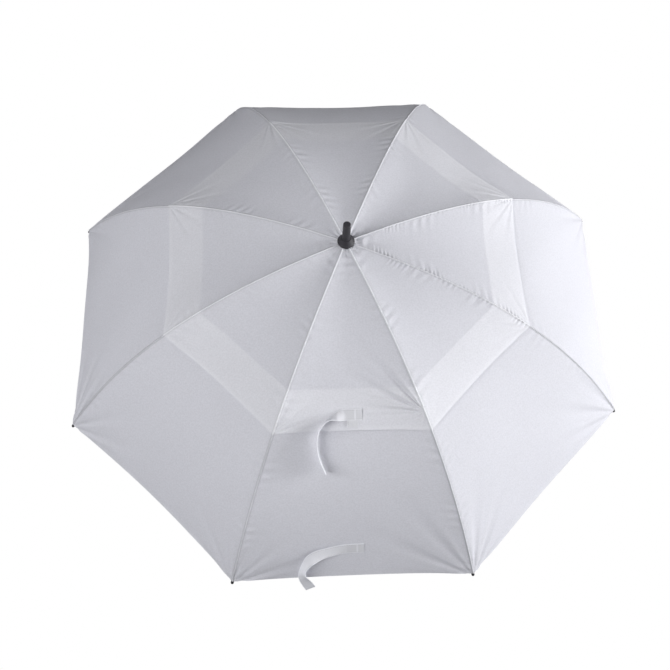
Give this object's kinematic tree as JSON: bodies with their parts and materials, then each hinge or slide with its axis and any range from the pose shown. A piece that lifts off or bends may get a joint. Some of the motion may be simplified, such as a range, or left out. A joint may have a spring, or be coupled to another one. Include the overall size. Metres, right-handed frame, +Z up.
{
  "type": "golf umbrella",
  "caption": "Open golf umbrella: white vented double canopy on black fibre ribs with black tips, cap and ferrule, a sliding runner with stretchers, and a straight foam handle with a button.",
  "frame": {"origin": "centre of the flat butt of the handle, on the shaft's axis", "axes": "+Z runs up the shaft to the ferrule; one flat canopy panel, with both tie straps on it, faces -Y"},
  "size_m": [1.1794, 1.1794, 1],
  "materials": {
    "cloth": "plain woven white pongee",
    "strap": "white tie strap, folded and stitched",
    "shaft_paint": "black lacquered steel tube",
    "glass_fibre": "black glass fibre rod",
    "black_plastic": "black moulded nylon",
    "cap_plastic": "charcoal moulded plastic, satin",
    "tip_plastic": "black moulded tip",
    "button_plastic": "grey moulded push button",
    "foam": "black closed-cell foam",
    "steel": "drawn steel wire"
  },
  "bodies": {
    "shaft": {"shaft_tube": "shaft_paint", "spring_seat": "black_plastic", "main_spring": "steel", "handle_grip": "foam", "handle_end_cap": "black_plastic", "handle_collar": "black_plastic", "button_spring": "steel", "crown": "black_plastic", "crown_wire": "steel", "top_cap": "cap_plastic", "ferrule": "cap_plastic", "canopy_upper": "cloth", "canopy_lower": "cloth", "tie_strap_upper": "strap", "tie_strap_lower": "strap"},
    "runner": {"runner": "black_plastic", "runner_wire": "steel", "drive_pin": "steel", "spring_plunger": "black_plastic"},
    "button": {"release_button": "button_plastic"},
    "rib_1": {"rib_inner_1": "glass_fibre", "rib_joint_1": "black_plastic"},
    "rib_end_1": {"rib_outer_1": "glass_fibre", "rib_tip_1": "tip_plastic"},
    "strut_1": {"stretcher_1": "glass_fibre"},
    "rib_2": {"rib_inner_2": "glass_fibre", "rib_joint_2": "black_plastic"},
    "rib_end_2": {"rib_outer_2": "glass_fibre", "rib_tip_2": "tip_plastic"},
    "strut_2": {"stretcher_2": "glass_fibre"},
    "rib_3": {"rib_inner_3": "glass_fibre", "rib_joint_3": "black_plastic"},
    "rib_end_3": {"rib_outer_3": "glass_fibre", "rib_tip_3": "tip_plastic"},
    "strut_3": {"stretcher_3": "glass_fibre"},
    "rib_4": {"rib_inner_4": "glass_fibre", "rib_joint_4": "black_plastic"},
    "rib_end_4": {"rib_outer_4": "glass_fibre", "rib_tip_4": "tip_plastic"},
    "strut_4": {"stretcher_4": "glass_fibre"},
    "rib_5": {"rib_inner_5": "glass_fibre", "rib_joint_5": "black_plastic"},
    "rib_end_5": {"rib_outer_5": "glass_fibre", "rib_tip_5": "tip_plastic"},
    "strut_5": {"stretcher_5": "glass_fibre"},
    "rib_6": {"rib_inner_6": "glass_fibre", "rib_joint_6": "black_plastic"},
    "rib_end_6": {"rib_outer_6": "glass_fibre", "rib_tip_6": "tip_plastic"},
    "strut_6": {"stretcher_6": "glass_fibre"},
    "rib_7": {"rib_inner_7": "glass_fibre", "rib_joint_7": "black_plastic"},
    "rib_end_7": {"rib_outer_7": "glass_fibre", "rib_tip_7": "tip_plastic"},
    "strut_7": {"stretcher_7": "glass_fibre"},
    "rib_8": {"rib_inner_8": "glass_fibre", "rib_joint_8": "black_plastic"},
    "rib_end_8": {"rib_outer_8": "glass_fibre", "rib_tip_8": "tip_plastic"},
    "strut_8": {"stretcher_8": "glass_fibre"}
  },
  "joints": [
    {"name": "runner_slide", "type": "slide", "parent": "shaft", "child": "runner", "axis": [0, 0, 1], "range_m": [-0.34539, 0], "stiffness_N_per_m": 60, "springref_m": 0.35, "deforming": ["main_spring", "canopy_upper", "canopy_lower", "tie_strap_upper", "tie_strap_lower"]},
    {"name": "button_press", "type": "slide", "parent": "shaft", "child": "button", "axis": [0, 1, 0], "range_m": [0, 0.0022], "stiffness_N_per_m": 400, "deforming": ["button_spring"]},
    {"name": "rib_fold_1", "type": "hinge", "parent": "shaft", "child": "rib_1", "pos_m": [0.01063, 0.0044, 0.9295], "axis": [0.3827, -0.9239, 0], "range_deg": [-69.4, 0]},
    {"name": "rib_flex_1", "type": "hinge", "parent": "rib_1", "child": "rib_end_1", "pos_m": [0.37251, 0.1543, 0.83407], "axis": [0.3827, -0.9239, 0], "range_deg": [0, 19.35]},
    {"name": "stretcher_turn_1", "type": "hinge", "parent": "rib_1", "child": "strut_1", "pos_m": [0.26218, 0.1086, 0.88133], "axis": [0.3827, -0.9239, 0], "range_deg": [0, 111.06]},
    {"name": "rib_fold_2", "type": "hinge", "parent": "shaft", "child": "rib_2", "pos_m": [0.0044, 0.01063, 0.9295], "axis": [0.9239, -0.3827, 0], "range_deg": [-69.4, 0]},
    {"name": "rib_flex_2", "type": "hinge", "parent": "rib_2", "child": "rib_end_2", "pos_m": [0.1543, 0.37251, 0.83407], "axis": [0.9239, -0.3827, 0], "range_deg": [0, 19.35]},
    {"name": "stretcher_turn_2", "type": "hinge", "parent": "rib_2", "child": "strut_2", "pos_m": [0.1086, 0.26218, 0.88133], "axis": [0.9239, -0.3827, 0], "range_deg": [0, 111.06]},
    {"name": "rib_fold_3", "type": "hinge", "parent": "shaft", "child": "rib_3", "pos_m": [-0.0044, 0.01063, 0.9295], "axis": [0.9239, 0.3827, 0], "range_deg": [-69.4, 0]},
    {"name": "rib_flex_3", "type": "hinge", "parent": "rib_3", "child": "rib_end_3", "pos_m": [-0.1543, 0.37251, 0.83407], "axis": [0.9239, 0.3827, 0], "range_deg": [0, 19.35]},
    {"name": "stretcher_turn_3", "type": "hinge", "parent": "rib_3", "child": "strut_3", "pos_m": [-0.1086, 0.26218, 0.88133], "axis": [0.9239, 0.3827, 0], "range_deg": [0, 111.06]},
    {"name": "rib_fold_4", "type": "hinge", "parent": "shaft", "child": "rib_4", "pos_m": [-0.01063, 0.0044, 0.9295], "axis": [0.3827, 0.9239, 0], "range_deg": [-69.4, 0]},
    {"name": "rib_flex_4", "type": "hinge", "parent": "rib_4", "child": "rib_end_4", "pos_m": [-0.37251, 0.1543, 0.83407], "axis": [0.3827, 0.9239, 0], "range_deg": [0, 19.35]},
    {"name": "stretcher_turn_4", "type": "hinge", "parent": "rib_4", "child": "strut_4", "pos_m": [-0.26218, 0.1086, 0.88133], "axis": [0.3827, 0.9239, 0], "range_deg": [0, 111.06]},
    {"name": "rib_fold_5", "type": "hinge", "parent": "shaft", "child": "rib_5", "pos_m": [-0.01063, -0.0044, 0.9295], "axis": [-0.3827, 0.9239, 0], "range_deg": [-69.4, 0]},
    {"name": "rib_flex_5", "type": "hinge", "parent": "rib_5", "child": "rib_end_5", "pos_m": [-0.37251, -0.1543, 0.83407], "axis": [-0.3827, 0.9239, 0], "range_deg": [0, 19.35]},
    {"name": "stretcher_turn_5", "type": "hinge", "parent": "rib_5", "child": "strut_5", "pos_m": [-0.26218, -0.1086, 0.88133], "axis": [-0.3827, 0.9239, 0], "range_deg": [0, 111.06]},
    {"name": "rib_fold_6", "type": "hinge", "parent": "shaft", "child": "rib_6", "pos_m": [-0.0044, -0.01063, 0.9295], "axis": [-0.9239, 0.3827, 0], "range_deg": [-69.4, 0]},
    {"name": "rib_flex_6", "type": "hinge", "parent": "rib_6", "child": "rib_end_6", "pos_m": [-0.1543, -0.37251, 0.83407], "axis": [-0.9239, 0.3827, 0], "range_deg": [0, 19.35]},
    {"name": "stretcher_turn_6", "type": "hinge", "parent": "rib_6", "child": "strut_6", "pos_m": [-0.1086, -0.26218, 0.88133], "axis": [-0.9239, 0.3827, 0], "range_deg": [0, 111.06]},
    {"name": "rib_fold_7", "type": "hinge", "parent": "shaft", "child": "rib_7", "pos_m": [0.0044, -0.01063, 0.9295], "axis": [-0.9239, -0.3827, 0], "range_deg": [-69.4, 0]},
    {"name": "rib_flex_7", "type": "hinge", "parent": "rib_7", "child": "rib_end_7", "pos_m": [0.1543, -0.37251, 0.83407], "axis": [-0.9239, -0.3827, 0], "range_deg": [0, 19.35]},
    {"name": "stretcher_turn_7", "type": "hinge", "parent": "rib_7", "child": "strut_7", "pos_m": [0.1086, -0.26218, 0.88133], "axis": [-0.9239, -0.3827, 0], "range_deg": [0, 111.06]},
    {"name": "rib_fold_8", "type": "hinge", "parent": "shaft", "child": "rib_8", "pos_m": [0.01063, -0.0044, 0.9295], "axis": [-0.3827, -0.9239, 0], "range_deg": [-69.4, 0]},
    {"name": "rib_flex_8", "type": "hinge", "parent": "rib_8", "child": "rib_end_8", "pos_m": [0.37251, -0.1543, 0.83407], "axis": [-0.3827, -0.9239, 0], "range_deg": [0, 19.35]},
    {"name": "stretcher_turn_8", "type": "hinge", "parent": "rib_8", "child": "strut_8", "pos_m": [0.26218, -0.1086, 0.88133], "axis": [-0.3827, -0.9239, 0], "range_deg": [0, 111.06]}
  ],
  "couplings": [
    {"joint": "rib_fold_1", "follows": "runner_slide", "rad_per_m": 3.5069},
    {"joint": "rib_flex_1", "follows": "runner_slide", "rad_per_m": -0.97798},
    {"joint": "stretcher_turn_1", "follows": "runner_slide", "rad_per_m": -5.6119},
    {"joint": "rib_fold_2", "follows": "runner_slide", "rad_per_m": 3.5069},
    {"joint": "rib_flex_2", "follows": "runner_slide", "rad_per_m": -0.97798},
    {"joint": "stretcher_turn_2", "follows": "runner_slide", "rad_per_m": -5.6119},
    {"joint": "rib_fold_3", "follows": "runner_slide", "rad_per_m": 3.5069},
    {"joint": "rib_flex_3", "follows": "runner_slide", "rad_per_m": -0.97798},
    {"joint": "stretcher_turn_3", "follows": "runner_slide", "rad_per_m": -5.6119},
    {"joint": "rib_fold_4", "follows": "runner_slide", "rad_per_m": 3.5069},
    {"joint": "rib_flex_4", "follows": "runner_slide", "rad_per_m": -0.97798},
    {"joint": "stretcher_turn_4", "follows": "runner_slide", "rad_per_m": -5.6119},
    {"joint": "rib_fold_5", "follows": "runner_slide", "rad_per_m": 3.5069},
    {"joint": "rib_flex_5", "follows": "runner_slide", "rad_per_m": -0.97798},
    {"joint": "stretcher_turn_5", "follows": "runner_slide", "rad_per_m": -5.6119},
    {"joint": "rib_fold_6", "follows": "runner_slide", "rad_per_m": 3.5069},
    {"joint": "rib_flex_6", "follows": "runner_slide", "rad_per_m": -0.97798},
    {"joint": "stretcher_turn_6", "follows": "runner_slide", "rad_per_m": -5.6119},
    {"joint": "rib_fold_7", "follows": "runner_slide", "rad_per_m": 3.5069},
    {"joint": "rib_flex_7", "follows": "runner_slide", "rad_per_m": -0.97798},
    {"joint": "stretcher_turn_7", "follows": "runner_slide", "rad_per_m": -5.6119},
    {"joint": "rib_fold_8", "follows": "runner_slide", "rad_per_m": 3.5069},
    {"joint": "rib_flex_8", "follows": "runner_slide", "rad_per_m": -0.97798},
    {"joint": "stretcher_turn_8", "follows": "runner_slide", "rad_per_m": -5.6119}
  ]
}
